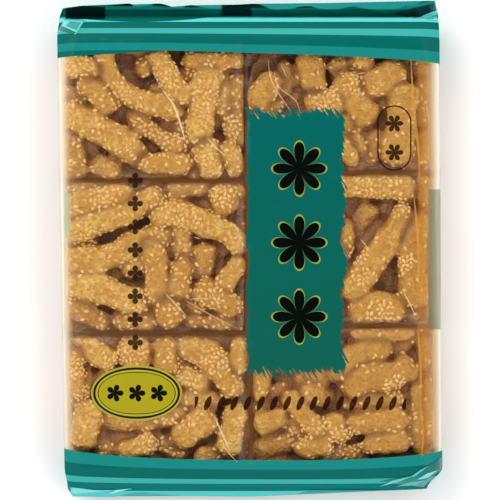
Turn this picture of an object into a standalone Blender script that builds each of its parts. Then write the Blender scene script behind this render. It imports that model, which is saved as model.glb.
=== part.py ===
"""A shut clear film pack of six sesame sachima blocks, two across and three down.

The pack lies on its back with its printed face up. It is one closed solid: the outer form of the film,
drawn down into the gaps between the blocks, rounded over their edges, folded in at the four corners and
sealed into a flat fin at each end. Z = 0 is the table, +Y is the head end and +X the reader's right.
"""

import math

import bmesh
import bpy
from mathutils import Vector, noise

MM = 0.001

# The blocks inside, which set the size of the pack.
BLOCK_WIDTH = 86.0 * MM
BLOCK_LENGTH = 71.0 * MM
BLOCK_HEIGHT = 30.0 * MM
BLOCK_GAP = 2.0 * MM
COLUMN_SHIFT = 4.0 * MM  # the right-hand column sits this much nearer the head end

# The film round them.
TOP_SLACK = 3.0 * MM  # the film stands this far off the blocks, above and below together
SIDE_SLACK = 4.6 * MM  # the film stands this far off the blocks at each side
TAPER = 0.6 * MM  # each side comes in this much from head to foot, over half the length
SKEW = 0.012  # the soft pack leans: x gained for each unit towards the foot
EDGE_ACROSS = 10.0 * MM  # rounding of the long top edges, seen from above and from the end
EDGE_DOWN = 11.0 * MM
HEEL_ACROSS = 5.0 * MM  # the same for the long bottom edges
HEEL_DOWN = 6.0 * MM
GROOVE_DEPTH = 3.2 * MM
GROOVE_HALF_WIDTH = 4.5 * MM
LUMP_HEIGHT = 0.9 * MM  # the film rides over the sticks of dough below it
LUMP_LENGTH = 13.0 * MM

# The two ends. A root is where the fin leaves the end wall; its edge is the free cut edge of the film.
HEAD_ROOT_Y = 112.0 * MM
FOOT_ROOT_Y = -115.0 * MM
SHOULDER_LENGTH = 13.0 * MM  # the top face starts to fall this far before a root
GAP_FADE = 4.0 * MM  # the gaps and lumps fade out over this length of film at a shoulder
UNDERSIDE_LENGTH = 10.0 * MM  # and the underside to rise this far before it
ROOT_HEIGHT = 14.0 * MM
FIN_THICKNESS = 1.3 * MM
GUSSET_DEPTH = 9.0 * MM  # how far the side walls are tucked in at a root
HEAD_EDGE_HEIGHT = 20.0 * MM  # the head fin leans up
FOOT_EDGE_HEIGHT = 7.0 * MM  # the foot fin leans down
# The free edge of each fin, as (x, y) in millimetres from left to right.
HEAD_EDGE = (
    (-91, 117.1), (-74, 118.6), (-59, 119.5), (-53, 118.6), (-43, 119.5), (-34, 118.1), (-29, 119.0),
    (-18, 117.4), (-1, 120.0), (16, 116.6), (30, 118.1), (48, 116.6), (58, 118.1), (70, 116.8), (90, 120.0),
)
FOOT_EDGE = ((-89, -119.4), (-68, -119.6), (-56, -117.6), (-28, -119.2), (0, -119.4), (22, -118.4),
             (32, -115.9), (56, -115.6), (70, -116.2), (84, -115.8), (92, -115.5))

# How finely the film is cut up.
STATION_STEP = 4.6 * MM
ACROSS_STEP = 5.0 * MM
EDGE_STEPS = 4
WALL_STEPS = 4
SHOULDER_STEPS = 6
FIN_STEPS = 3

PACK_HEIGHT = BLOCK_HEIGHT + TOP_SLACK
CONTENTS_WIDTH = 2 * BLOCK_WIDTH + BLOCK_GAP
HALF_WIDTH = CONTENTS_WIDTH / 2 + SIDE_SLACK
ROW_PITCH = BLOCK_LENGTH + BLOCK_GAP
MIDDLE_Y = (HEAD_ROOT_Y + FOOT_ROOT_Y) / 2


def clear_scene():
    for obj in list(bpy.data.objects):
        bpy.data.objects.remove(obj)


def film_material():
    material = bpy.data.materials.new("clear film over golden dough")
    material.use_nodes = True
    shader = material.node_tree.nodes["Principled BSDF"]
    shader.inputs["Base Color"].default_value = (0.53, 0.29, 0.09, 1)
    shader.inputs["Roughness"].default_value = 0.3
    shader.inputs["Metallic"].default_value = 0.0
    return material


def smooth(share):
    share = min(1.0, max(0.0, share))
    return share * share * (3 - 2 * share)


def quarter_round(share):
    """1 at the start of a rounded edge, falling as a quarter circle to nearly 0 at its end."""
    return math.sqrt(max(0.0, 1 - min(1.0, max(0.0, share)) ** 2))


def along(points, x):
    """The y in metres of a fin's edge at x, eased from point to point so that it waves and has no corners."""
    for (x0, y0), (x1, y1) in zip(points, points[1:]):
        if x <= x1 * MM or x1 == points[-1][0]:
            return (y0 + (y1 - y0) * smooth((x / MM - x0) / (x1 - x0))) * MM
    return points[-1][1] * MM


def groove(distance):
    """How far the film is drawn down at this distance from the middle of a gap."""
    return GROOVE_DEPTH * (1 - smooth(abs(distance) / GROOVE_HALF_WIDTH))


def relief(x, y):
    """The film's depth below the flat top of the pack, over the gaps, less its lumps over the sticks."""
    shift = COLUMN_SHIFT / 2 if x > 0 else -COLUMN_SHIFT / 2
    across = groove(x)
    down = max(groove(y - MIDDLE_Y - shift - side * ROW_PITCH / 2) for side in (-1, 1))
    lump = LUMP_HEIGHT * noise.noise(Vector((x, y, 0.0)) / LUMP_LENGTH + Vector((3.1, 7.7, 0.4)))
    return max(across, down) - lump


def half_width(y):
    return HALF_WIDTH + TAPER * (y - MIDDLE_Y) / (HEAD_ROOT_Y - MIDDLE_Y)


def from_root(y):
    return min(HEAD_ROOT_Y - y, y - FOOT_ROOT_Y)


def end_share(y, length):
    """1 at the nearer root, and 0 this length of film away from it."""
    return 1 - from_root(y) / length


def heights(y):
    """The top face's and the underside's height at this station, on the pack's middle line."""
    top_of_fin = ROOT_HEIGHT + FIN_THICKNESS / 2
    foot_of_fin = ROOT_HEIGHT - FIN_THICKNESS / 2
    top = top_of_fin + (PACK_HEIGHT - top_of_fin) * quarter_round(end_share(y, SHOULDER_LENGTH))
    bottom = foot_of_fin * (1 - quarter_round(end_share(y, UNDERSIDE_LENGTH)))
    return top, bottom


def section_marks():
    """The ring round a cross-section, clockwise from the middle of the top: (place, across, turn).

    On the top and the underside, across is the share of the way from the middle to the rounded edge. On
    an edge or a heel, turn is the share of the way round its quarter circle, and on a wall, down it.
    """
    flat = HALF_WIDTH - EDGE_ACROSS
    fixed = [0.0, 1.5 * MM, GROOVE_HALF_WIDTH]
    count = round((flat - GROOVE_HALF_WIDTH) / ACROSS_STEP)
    steps = [GROOVE_HALF_WIDTH + (flat - GROOVE_HALF_WIDTH) * i / count for i in range(1, count + 1)]
    shares = [x / flat for x in fixed + steps]
    edge = [(i + 1) / EDGE_STEPS for i in range(EDGE_STEPS)]
    wall = [(i + 1) / WALL_STEPS for i in range(WALL_STEPS - 1)]
    heel = [i / EDGE_STEPS for i in range(EDGE_STEPS)]
    right = [("top", share, 0) for share in shares]
    right += [("edge", 1, turn) for turn in edge]
    right += [("wall", 1, turn) for turn in wall]
    right += [("heel", 1, turn) for turn in heel]
    right += [("under", share, 0) for share in reversed(shares)]
    left = [(place, -across, turn) for place, across, turn in reversed(right[1:-1])]
    return right + left


def body_point(mark, y):
    """Where a ring's mark lies on the film at station y."""
    place, across, turn = mark
    side = -1 if across < 0 else 1
    width = half_width(y)
    top, bottom = heights(y)
    room = top - bottom
    edge_down = min(EDGE_DOWN, room * 0.45)
    heel_down = min(HEEL_DOWN, room * 0.3)
    tuck = GUSSET_DEPTH * smooth(end_share(y, SHOULDER_LENGTH * 1.6))
    dip = smooth((from_root(y) - SHOULDER_LENGTH) / GAP_FADE + 0.5)
    if place == "top":
        x = across * (width - EDGE_ACROSS)
        z = top - relief(x, y) * dip
    elif place == "edge":
        angle = turn * math.pi / 2
        x = side * (width - EDGE_ACROSS * (1 - math.sin(angle)))
        faded = relief(side * (width - EDGE_ACROSS), y) * dip * math.cos(angle)
        z = top - edge_down * (1 - math.cos(angle)) - faded
    elif place == "wall":
        x = side * (width - tuck * math.sin(turn * math.pi))
        z = (top - edge_down) * (1 - turn) + (bottom + heel_down) * turn
    elif place == "heel":
        angle = turn * math.pi / 2
        x = side * (width - HEEL_ACROSS * (1 - math.cos(angle)))
        z = bottom + heel_down * (1 - math.sin(angle))
    else:
        x = across * (width - HEEL_ACROSS)
        z = bottom
    return Vector((x - SKEW * (y - MIDDLE_Y), y, z))


def fin_point(root, points, edge_height, share):
    """A point this share of the way from the root of a fin to its free edge."""
    middle = Vector((root.x, root.y, ROOT_HEIGHT))
    edge = Vector((root.x, along(points, root.x), edge_height))
    spread = (root.z - ROOT_HEIGHT) * (1 - 0.4 * share)
    place = middle.lerp(edge, share)
    place.z += spread
    return place


def stations():
    """The y of each cross-section from foot to head, closer together on the shoulders."""
    shoulder = [1 - math.cos(i / SHOULDER_STEPS * math.pi / 2) for i in range(SHOULDER_STEPS)]
    low = [FOOT_ROOT_Y + SHOULDER_LENGTH * share for share in shoulder]
    high = [HEAD_ROOT_Y - SHOULDER_LENGTH * share for share in reversed(shoulder)]
    start = FOOT_ROOT_Y + SHOULDER_LENGTH
    end = HEAD_ROOT_Y - SHOULDER_LENGTH
    count = round((end - start) / STATION_STEP)
    return low + [start + (end - start) * i / count for i in range(count + 1)] + high


def rings():
    """Every cross-section from the foot fin's edge to the head fin's edge, as lists of points."""
    marks = section_marks()
    found = [[body_point(mark, y) for mark in marks] for y in stations()]
    foot_root = found[0]
    head_root = found[-1]
    for step in range(1, FIN_STEPS + 1):
        share = step / FIN_STEPS
        found.insert(0, [fin_point(p, FOOT_EDGE, FOOT_EDGE_HEIGHT, share) for p in foot_root])
        found.append([fin_point(p, HEAD_EDGE, HEAD_EDGE_HEIGHT, share) for p in head_root])
    return found


def film_pack():
    """Joins the cross-sections into one skin, closes both ends and rests the pack on Z = 0."""
    bm = bmesh.new()
    loops = []
    for ring in rings():
        corners = [bm.verts.new(point) for point in ring]
        loops.append([bm.edges.new((a, b)) for a, b in zip(corners, corners[1:] + corners[:1])])
    for first, second in zip(loops, loops[1:]):
        bmesh.ops.bridge_loops(bm, edges=first + second)
    for loop in (loops[0], loops[-1]):
        bmesh.ops.contextual_create(bm, geom=loop)
    bmesh.ops.recalc_face_normals(bm, faces=bm.faces)
    bmesh.ops.triangulate(bm, faces=bm.faces)
    mesh = bpy.data.meshes.new("film_pack")
    bm.to_mesh(mesh)
    bm.free()
    xs = [v.co.x for v in mesh.vertices]
    ys = [v.co.y for v in mesh.vertices]
    centre = Vector(((min(xs) + max(xs)) / 2, (min(ys) + max(ys)) / 2, 0))
    for vertex in mesh.vertices:
        vertex.co -= centre
    mesh.shade_smooth()
    mesh.set_sharp_from_angle(angle=math.radians(40))
    pack = bpy.data.objects.new("film_pack", mesh)
    pack.data.materials.append(film_material())
    bpy.context.scene.collection.objects.link(pack)
    return pack


clear_scene()
film_pack()
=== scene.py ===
# A shut clear film pack of six sesame sachima blocks, lying flat and seen from straight above.
import math

import bpy
import numpy as np
from mathutils import Matrix, Vector, noise


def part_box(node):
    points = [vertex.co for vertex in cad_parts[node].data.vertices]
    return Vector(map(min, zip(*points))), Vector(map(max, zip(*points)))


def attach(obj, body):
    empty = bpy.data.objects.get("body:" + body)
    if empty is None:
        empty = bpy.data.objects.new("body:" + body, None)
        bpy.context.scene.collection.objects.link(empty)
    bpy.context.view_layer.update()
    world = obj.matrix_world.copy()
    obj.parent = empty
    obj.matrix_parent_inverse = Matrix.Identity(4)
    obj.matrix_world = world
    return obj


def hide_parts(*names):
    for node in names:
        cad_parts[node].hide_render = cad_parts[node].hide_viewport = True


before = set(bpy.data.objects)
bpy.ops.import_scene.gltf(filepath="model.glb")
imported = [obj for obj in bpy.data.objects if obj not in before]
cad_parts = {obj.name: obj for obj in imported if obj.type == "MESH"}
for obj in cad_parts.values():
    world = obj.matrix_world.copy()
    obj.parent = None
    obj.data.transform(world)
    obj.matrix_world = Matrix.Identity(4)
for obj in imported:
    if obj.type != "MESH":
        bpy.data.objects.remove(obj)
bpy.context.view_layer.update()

# The six blocks and their sticks of dough.
# Wheat and egg dough is cut in strips, fried until it puffs, tumbled in malt syrup, pressed in a tray and
# cut in blocks. Six blocks lie two across and three down, the right-hand column a little nearer the head.
MM = 0.001
PACK_LOW, PACK_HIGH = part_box("film_pack")
PACK_LENGTH = PACK_HIGH.y - PACK_LOW.y
PHOTO_SCALE = PACK_LENGTH / 500  # one pixel of the photograph on the pack, which fills it from top to bottom
PHOTO_CENTRE = Vector((0.5 * MM, -0.2 * MM))  # the middle of the photograph, from the middle of the pack
BLOCK_SIZE = np.array((87.0, 71.6, 30.0)) * MM
BLOCK_GAP = 1.5 * MM
COLUMN_SHIFT = 4.0 * MM
BLOCKS_X = -1.0 * MM  # the gap between the columns, from the middle of the photograph
BLOCK_NUDGES = {"head_left": -0.4 * MM, "foot_left": 0.9 * MM, "foot_right": 0.7 * MM}  # to the right
LEAN = 0.012  # the soft pack leans: x gained for each unit towards the foot
MIDDLE_Y = -1.7 * MM
BLOCK_ROUND = 6.0 * MM
LEVEL_DROP = 4.6 * MM  # each level of sticks below the top one
STICK_FLAT = 0.82  # height of a stick to its width
STICK_SWELL = 1.06  # the sticks meet a little under the edges that show
BLUNT_END = 0.62  # width of the flat of a stick's end to the whole
END_ROUND = 4.5 * MM
STICK_SIDES = 24
STICK_RINGS = 38
# The sticks under those that show, layer by layer: height from the block's middle, how many each way and
# how many steps of 6 mm each is long.
HIDDEN_LAYERS = ((-9.6, 3, 3, 5, 8), (-2.5, 4, 3, 4, 8), (3.5, 4, 3, 2, 5))
SEED = 41
CORE_INSET = (1.8, 1.8, 11.0)  # how much smaller than the block its core is, in millimetres
CORE_DROP = 4.4 * MM
FUSE_SIZE = 1.0 * MM  # the syrup rounds off any crevice finer than this
CREVICE_REACH = 4.4 * MM  # how near the next stick the syrup brown and the painted shade between sticks start
TONES = {"left": (0.05, 0.85), "right": (0.0, 0.5)}  # from deep golden to pale
DEPTH_SHADE_FROM = 2.6 * MM  # below this depth the dough is painted darker, as painted shade
DEPTH_SHADE_REACH = 7.5 * MM
FLANK_SHADE_SHARE = 0.4  # how much of that painted shade the flanks of a stick take
CUT_FACE_REACH = 3.0 * MM

# The sticks that show through the film. Each is its width in pixels of the photograph, its level below
# the top face and the pixels that its middle line passes.
SHOWN_STICKS = {
    "head_left": (
        (22, 0, (66, 65), (92, 70)), (25, 0, (89, 82), (110, 103)), (14, 1, (100, 44), (150, 48)),
        (20, 0, (104, 56), (112, 82), (130, 98), (155, 105), (175, 110)),
        (27, 0, (66, 114), (101, 129), (130, 149), (140, 158)), (24, 1, (71, 132), (77, 170)),
        (22, 1, (98, 164), (114, 171)), (20, 1, (134, 115), (146, 128), (165, 140), (180, 145)),
        (18, 1, (180, 118), (184, 145)), (20, 0, (146, 163), (184, 164)), (22, 0, (158, 56), (182, 98)),
        (18, 0, (190, 60), (243, 60)), (26, 0, (211, 71), (204, 91), (201, 116), (201, 138)),
        (26, 0, (205, 146), (212, 170)), (22, 1, (241, 80), (230, 115), (236, 140)),
        (20, 0, (228, 150), (240, 170)), (18, 1, (70, 92), (80, 105)), (22, 1, (60, 40), (130, 34)),
        (22, 1, (160, 38), (235, 40)), (18, 2, (110, 70), (140, 78)), (16, 1, (222, 78), (224, 110)),
    ),
    "middle_left": (
        (22, 0, (70, 206), (125, 195)), (26, 0, (75, 232), (100, 222), (130, 208), (155, 200)),
        (26, 0, (70, 262), (101, 260), (131, 246), (160, 238)),
        (26, 0, (70, 283), (106, 290), (131, 302), (150, 296)),
        (24, 0, (150, 244), (158, 264), (155, 296)), (20, 1, (70, 306), (105, 322)),
        (18, 1, (117, 320), (150, 322)), (18, 1, (172, 191), (205, 189)), (26, 0, (223, 192), (225, 206)),
        (24, 0, (158, 216), (180, 211), (205, 224), (232, 234), (241, 244)),
        (23, 1, (180, 228), (181, 256)), (24, 0, (182, 268), (178, 290)), (20, 1, (205, 250), (202, 274)),
        (20, 0, (238, 264), (226, 283)), (24, 0, (203, 290), (232, 306)), (27, 0, (165, 303), (170, 316)),
        (14, 1, (190, 321), (230, 322)), (18, 2, (120, 232), (165, 228)), (18, 1, (68, 186), (110, 184)),
    ),
    "foot_left": (
        (22, 0, (76, 342), (108, 359)), (32, 0, (134, 348), (136, 358)), (20, 0, (72, 352), (75, 388)),
        (14, 1, (86, 374), (82, 405)), (26, 0, (88, 412), (84, 440)), (20, 0, (125, 451), (150, 443)),
        (18, 1, (108, 420), (150, 424)), (24, 0, (166, 346), (166, 364)),
        (26, 0, (188, 347), (208, 354), (224, 371), (232, 386)), (18, 0, (240, 344), (238, 366)),
        (22, 1, (175, 368), (200, 385)), (26, 0, (182, 438), (206, 419)), (24, 0, (236, 412), (229, 446)),
        (20, 1, (158, 442), (180, 452)), (20, 1, (155, 418), (182, 416)), (26, 1, (105, 380), (160, 384)),
        (24, 1, (105, 402), (165, 402)), (22, 1, (188, 398), (214, 402)), (22, 1, (75, 470), (150, 472)),
        (22, 1, (165, 472), (235, 474)), (18, 2, (196, 448), (216, 440)),
    ),
    "head_right": (
        (18, 1, (285, 66), (282, 90)), (24, 0, (272, 82), (258, 100)), (26, 0, (308, 60), (313, 84)),
        (18, 1, (338, 62), (341, 84)), (24, 0, (314, 100), (336, 102)),
        (28, 0, (345, 84), (353, 100), (366, 116)), (30, 0, (395, 73), (373, 84)),
        (14, 1, (420, 84), (421, 120)), (30, 0, (404, 94), (400, 125), (397, 155)),
        (16, 1, (354, 136), (361, 150)), (16, 0, (342, 142), (352, 160)), (16, 1, (374, 134), (371, 160)),
        (24, 1, (256, 40), (320, 38)), (24, 1, (335, 42), (425, 44)), (24, 0, (258, 122), (292, 128)),
        (24, 0, (262, 150), (320, 156)), (24, 1, (304, 118), (330, 134)), (14, 1, (424, 135), (424, 160)),
    ),
    "middle_right": (
        (23, 0, (343, 186), (405, 188)), (14, 1, (421, 180), (425, 206)),
        (27, 0, (406, 216), (378, 254), (353, 290)), (22, 1, (353, 230), (368, 210)),
        (12, 1, (348, 226), (347, 246)), (26, 0, (416, 222), (411, 250), (411, 274), (416, 298)),
        (16, 2, (388, 258), (385, 282)), (28, 0, (360, 312), (376, 304), (394, 310)),
        (20, 1, (403, 298), (410, 314)), (24, 0, (258, 188), (322, 186)), (24, 0, (262, 216), (320, 226)),
        (24, 0, (256, 250), (300, 262)), (24, 0, (270, 296), (325, 286)), (22, 1, (256, 312), (330, 314)),
        (22, 1, (310, 250), (334, 262)), (10, 1, (430, 230), (430, 300)),
    ),
    "foot_right": (
        (13, 0, (356, 333), (408, 333)), (22, 0, (340, 374), (351, 356), (366, 347), (382, 348)),
        (30, 0, (350, 383), (368, 373), (386, 379), (403, 369)), (14, 1, (424, 340), (424, 364)),
        (12, 1, (428, 385), (428, 440)), (14, 1, (417, 388), (418, 446)), (22, 0, (356, 424), (398, 419)),
        (24, 0, (333, 422), (337, 434)), (20, 0, (370, 445), (402, 442)), (20, 0, (262, 368), (260, 392)),
        (16, 1, (270, 393), (286, 389)), (20, 1, (300, 381), (324, 378)), (22, 0, (262, 423), (278, 417)),
        (20, 0, (291, 398), (302, 413), (317, 430)), (22, 1, (262, 449), (288, 442)),
        (20, 0, (304, 447), (326, 443)), (18, 1, (332, 452), (362, 452)), (20, 1, (265, 345), (325, 350)),
        (20, 1, (350, 400), (395, 398)), (22, 1, (258, 470), (330, 474)), (22, 1, (345, 470), (420, 470)),
    ),
}


def on_pack(pixel):
    """A pixel of the photograph as a place on the pack."""
    x = (pixel[0] - 250) * PHOTO_SCALE + PHOTO_CENTRE.x
    y = (250 - pixel[1]) * PHOTO_SCALE + PHOTO_CENTRE.y
    return np.array((x, y))


def block_centre(name):
    """The middle of a block, from its row and column."""
    row, column = name.split("_")
    side = 1 if column == "right" else -1
    step = {"head": 1, "middle": 0, "foot": -1}[row]
    y = MIDDLE_Y + step * (BLOCK_SIZE[1] + BLOCK_GAP) + side * COLUMN_SHIFT / 2
    x = side * (BLOCK_SIZE[0] + BLOCK_GAP) / 2 - LEAN * (y - MIDDLE_Y) + PHOTO_CENTRE.x + BLOCKS_X
    x += BLOCK_NUDGES.get(name, 0)
    return np.array((x, y, 0.8 * MM + BLOCK_SIZE[2] / 2))


def smooth_route(points, spacing):
    """Points at an even spacing along a smooth curve through the given ones."""
    points = np.asarray(points, dtype=float)
    padded = np.vstack((2 * points[0] - points[1], points, 2 * points[-1] - points[-2]))
    fine = []
    for a, b, c, d in zip(padded, padded[1:], padded[2:], padded[3:]):
        for t in np.linspace(0, 1, 12, endpoint=False):
            fine.append(0.5 * (2 * b + (c - a) * t + (2 * a - 5 * b + 4 * c - d) * t ** 2
                               + (3 * b - a - 3 * c + d) * t ** 3))
    fine = np.array(fine + [points[-1]])
    way = np.concatenate(([0], np.cumsum(np.linalg.norm(np.diff(fine, axis=0), axis=1))))
    count = max(3, int(round(way[-1] / spacing)) + 1)
    return np.column_stack([np.interp(np.linspace(0, way[-1], count), way, column) for column in fine.T])


def shown_routes(name, centre):
    """The sticks of a block that show in the photograph, as (route, radius, held), from its centre."""
    for width, level, *pixels in SHOWN_STICKS[name]:
        radius = width * PHOTO_SCALE / 2 * STICK_SWELL
        flat = [on_pack(pixel) - centre[:2] for pixel in pixels]
        z = BLOCK_SIZE[2] / 2 - radius * STICK_FLAT - level * LEVEL_DROP
        yield smooth_route([(x, y, z) for x, y in flat], 5 * MM), radius, True


def hidden_routes(rng):
    """The sticks below them, laid every way in loose layers."""
    half = BLOCK_SIZE / 2
    for height, across, down, shortest, longest in HIDDEN_LAYERS:
        for i in range(across):
            for j in range(down):
                cell = (np.array((i, j)) + rng.uniform(0.2, 0.8, 2)) / (across, down)
                start = (2 * cell - 1) * half[:2] * 0.85
                heading = rng.uniform(0, math.tau)
                turn = rng.uniform(-0.22, 0.22)
                steps = rng.integers(shortest, longest + 1)
                points = [np.array((*start, height * MM))]
                for _ in range(steps):
                    heading += turn
                    points.append(points[-1] + 6 * MM * np.array((math.cos(heading), math.sin(heading), 0)))
                route = np.array(points) - (np.array(points).mean(0) - points[0]) * 0.8
                yield smooth_route(route, 5 * MM), rng.uniform(4.9, 6.0) * MM, False


def settle(sticks, steps=130):
    """Pushes sticks that overlap apart, a little at a time, and keeps them inside the block."""
    spots = np.vstack([route for route, _, _ in sticks])
    owner = np.concatenate([np.full(len(route), i) for i, (route, _, _) in enumerate(sticks)])
    radius = np.array([stick[1] for stick in sticks])[owner]
    held = np.array([stick[2] for stick in sticks])[owner]
    follows = np.flatnonzero(owner[1:] == owner[:-1])
    rest = np.linalg.norm(spots[follows + 1] - spots[follows], axis=1)
    aim = spots.copy()
    freedom = np.where(held[:, None], (0.12, 0.12, 0.35), (1.0, 1.0, 1.0))
    strangers = owner[:, None] != owner[None, :]
    reach = 0.86 * (radius[:, None] + radius[None, :])
    room = BLOCK_SIZE / 2 - np.column_stack((radius * 0.55, radius * 0.55, radius * STICK_FLAT * 0.96))
    for _ in range(steps):
        apart = spots[:, None, :] - spots[None, :, :]
        apart[..., 2] /= STICK_FLAT
        gap = np.linalg.norm(apart, axis=2) + 1e-9
        push = np.where(strangers, np.maximum(0, reach - gap), 0) / gap
        moves = (apart * push[..., None]).sum(1)
        spots += 0.3 * moves * freedom
        spots[held] += 0.12 * (aim - spots)[held]
        link = spots[follows + 1] - spots[follows]
        length = np.linalg.norm(link, axis=1) + 1e-9
        mend = link * ((length - rest) / length * 0.4)[:, None]
        spots[follows] += mend
        spots[follows + 1] -= mend
        middles = follows[1:][follows[1:] == follows[:-1] + 1]
        spots[middles] += 0.15 * ((spots[middles - 1] + spots[middles + 1]) / 2 - spots[middles])
        spots = np.clip(spots, -room, room)
    return [(spots[owner == i], stick[1], stick[2]) for i, stick in enumerate(sticks)]


def straight_stick():
    """One straight stick, 1 long and 1 in radius along X, with many rings and two closed ends."""
    bpy.ops.object.select_all(action="DESELECT")
    bpy.ops.mesh.primitive_cylinder_add(vertices=STICK_SIDES, radius=1, depth=1, rotation=(0, math.pi / 2, 0))
    made = bpy.context.object
    made.name = "dough_stick"
    bpy.ops.object.transform_apply(location=False, rotation=True, scale=False)
    bpy.ops.object.mode_set(mode="EDIT")
    bpy.ops.mesh.select_mode(type="EDGE")
    bpy.ops.mesh.select_all(action="DESELECT")
    bpy.ops.object.mode_set(mode="OBJECT")
    for edge in made.data.edges:
        a, b = (made.data.vertices[i].co.x for i in edge.vertices)
        edge.select = abs(a - b) > 0.5
    bpy.ops.object.mode_set(mode="EDIT")
    bpy.ops.mesh.subdivide(number_cuts=STICK_RINGS)
    bpy.ops.mesh.select_mode(type="FACE")
    bpy.ops.mesh.select_all(action="DESELECT")
    bpy.ops.object.mode_set(mode="OBJECT")
    for face in made.data.polygons:
        face.select = abs(face.normal.x) > 0.5
    bpy.ops.object.mode_set(mode="EDIT")
    for _ in range(2):
        bpy.ops.mesh.inset(thickness=0.33)
    bpy.ops.mesh.poke()
    bpy.ops.object.mode_set(mode="OBJECT")
    return made


def bent(stick_points, route, radius, rng, held):
    """The points of the straight stick laid along a route, puffed and twisted as dough is that fries."""
    curve = smooth_route(route, 1.5 * MM)
    way = np.concatenate(([0], np.cumsum(np.linalg.norm(np.diff(curve, axis=0), axis=1))))
    reach = 0.55 * radius
    length = way[-1] + 2 * reach
    share = stick_points[:, 0] + 0.5
    ends = 4.5 / STICK_RINGS
    cap = min(END_ROUND, length / 3)
    along = np.interp(share, (0, ends, 1 - ends, 1), (0, cap, length - cap, length))
    nearest = np.minimum(along, length - along) / cap
    belly = np.hypot(stick_points[:, 1], stick_points[:, 2])
    taper = BLUNT_END + (1 - BLUNT_END) * (1 - (1 - np.clip(nearest, 0, 1)) ** 2.2) ** (1 / 2.2)
    along = along + np.where(share > 0.5, 1, -1) * (1 - belly ** 2) * 1.6 * MM * (belly < 0.99)
    turn = np.arctan2(stick_points[:, 2], stick_points[:, 1])
    squareness = rng.uniform(2.3, 3.2)
    corner = (np.abs(np.cos(turn)) ** squareness + np.abs(np.sin(turn)) ** squareness) ** (-1 / squareness)
    swell = rng.uniform(0, math.tau, 2)
    puff = 1 + 0.07 * np.sin(along / (7 * MM) + swell[0]) + 0.05 * np.sin(along / (3.4 * MM) + swell[1])
    twist = rng.uniform(-0.3, 0.3) + rng.uniform(-0.7, 0.7) * (share - 0.5) * (0.6 if held else 2)
    flat = STICK_FLAT * rng.uniform(0.92, 1.08)
    across = belly * corner * taper * puff * radius * 0.97
    side = across * np.cos(turn)
    rise = across * np.sin(turn) * flat
    side, rise = (side * np.cos(twist) - rise * np.sin(twist), side * np.sin(twist) + rise * np.cos(twist))
    at = np.clip(along - reach, 0, way[-1])
    place = np.column_stack([np.interp(at, way, column) for column in curve.T])
    tangents = np.gradient(curve, axis=0)
    tangent = np.column_stack([np.interp(at, way, column) for column in tangents.T])
    tangent /= np.linalg.norm(tangent, axis=1)[:, None]
    place += tangent * (along - reach - at)[:, None]
    left = np.cross((0, 0, 1), tangent)
    left /= np.linalg.norm(left, axis=1)[:, None] + 1e-9
    up = np.cross(tangent, left)
    return place + left * side[:, None] + up * rise[:, None]


def roughened(points, normals, offset):
    """Swells and blisters the surface along its normals."""
    rise = np.empty(len(points))
    for i, point in enumerate(points):
        spot = Vector(point + offset)
        swell = noise.noise(spot / (8 * MM))
        blister = max(0.0, noise.noise(spot / (3.8 * MM)) - 0.05)
        grain = noise.noise(spot / (2.2 * MM))
        rise[i] = 0.9 * swell + 1.9 * blister + 0.5 * grain
    return points + normals * (rise * MM)[:, None]


def squeezed(points):
    """Presses what stands out of the block back to its rounded faces."""
    core = BLOCK_SIZE / 2 - BLOCK_ROUND
    inside = np.clip(points, -core, core)
    out = points - inside
    distance = np.linalg.norm(out, axis=1)
    beyond = np.maximum(0, distance - BLOCK_ROUND)
    return inside + out * ((distance - beyond * 0.93) / np.maximum(distance, 1e-9))[:, None]


def vertex_array(mesh, name, width):
    """One of a mesh's per-point values as an array."""
    values = np.empty(len(mesh.vertices) * width, np.float32)
    mesh.vertices.foreach_get(name, values)
    return values.reshape(-1, width).astype(float)


def block_core(centre):
    """The stuck-together middle of a block, low down, where no single stick can be made out."""
    bpy.ops.object.select_all(action="DESELECT")
    bpy.ops.mesh.primitive_cube_add(size=1, location=(0, 0, 0))
    made = bpy.context.object
    bpy.ops.object.mode_set(mode="EDIT")
    bpy.ops.mesh.subdivide(number_cuts=30)
    bpy.ops.object.mode_set(mode="OBJECT")
    points = vertex_array(made.data, "co", 3) * (BLOCK_SIZE - np.array(CORE_INSET) * MM)
    points[:, 2] -= CORE_DROP
    swells = np.array([noise.noise_vector(Vector(point + centre) / (9 * MM)) for point in points])
    points = squeezed(points + swells * (1.2, 1.2, 2.8) * MM) + centre
    made.data.vertices.foreach_set("co", points.astype(np.float32).ravel())
    made.data.materials.append(dough)
    return made


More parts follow.
